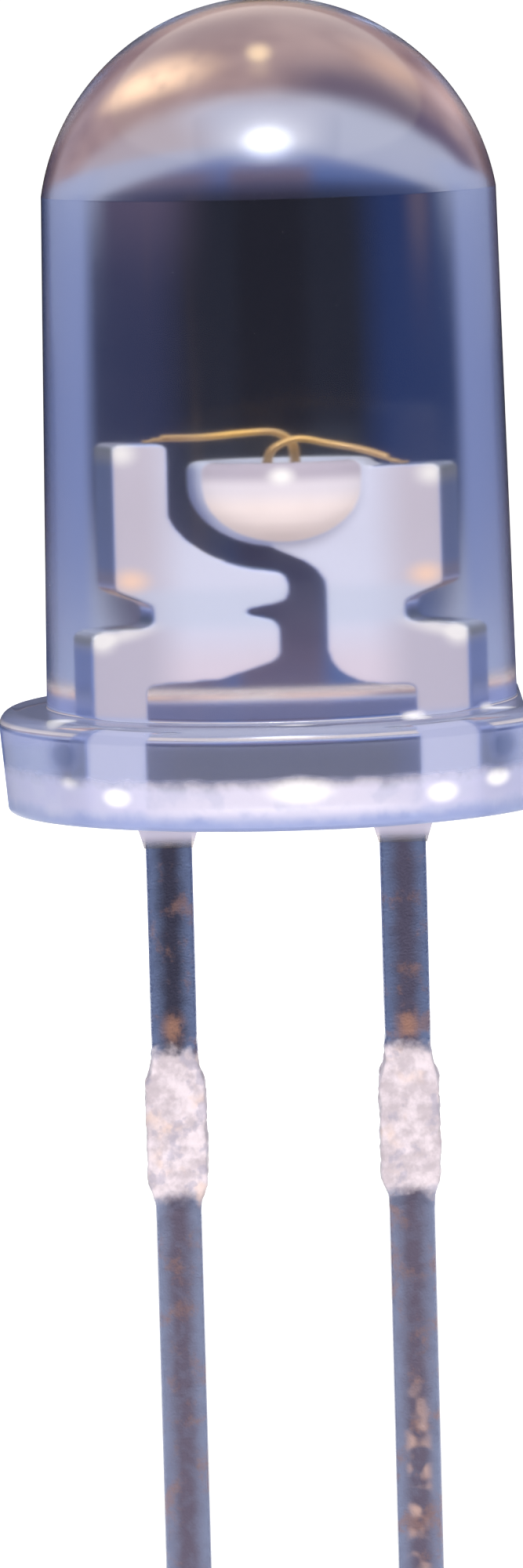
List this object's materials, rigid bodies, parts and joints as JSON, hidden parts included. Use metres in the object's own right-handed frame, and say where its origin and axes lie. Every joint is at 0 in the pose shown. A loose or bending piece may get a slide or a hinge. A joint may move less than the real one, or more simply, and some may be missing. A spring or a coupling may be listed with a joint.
{
  "type": "through hole led",
  "caption": "Clear 5 mm through hole LED: domed epoxy body with a flanged base, flat on the cathode side, reflector cup, bond wires and two straight leads.",
  "frame": {"origin": "centre of the flange's flat underside, on the barrel's axis", "axes": "+Z along the barrel's axis to the dome, +X from the anode lead to the cathode lead and the flange's flat, -Y to the front, which faces the viewer in the picture"},
  "size_m": [0.0057, 0.0062, 0.0197],
  "materials": {
    "clear_epoxy": "polished water-clear cast epoxy",
    "plated_lead": "silver-plated stamped steel strip, satin",
    "chip": "translucent pale crystal with two gold pads",
    "adhesive": "cured silver-filled adhesive",
    "gold_wire": "drawn gold wire"
  },
  "bodies": {
    "root": {"epoxy_body": "clear_epoxy", "anode_lead": "plated_lead", "cathode_lead": "plated_lead", "led_chip": "chip", "die_attach": "adhesive", "anode_bond_wire": "gold_wire", "cathode_bond_wire": "gold_wire"}
  },
  "joints": []
}
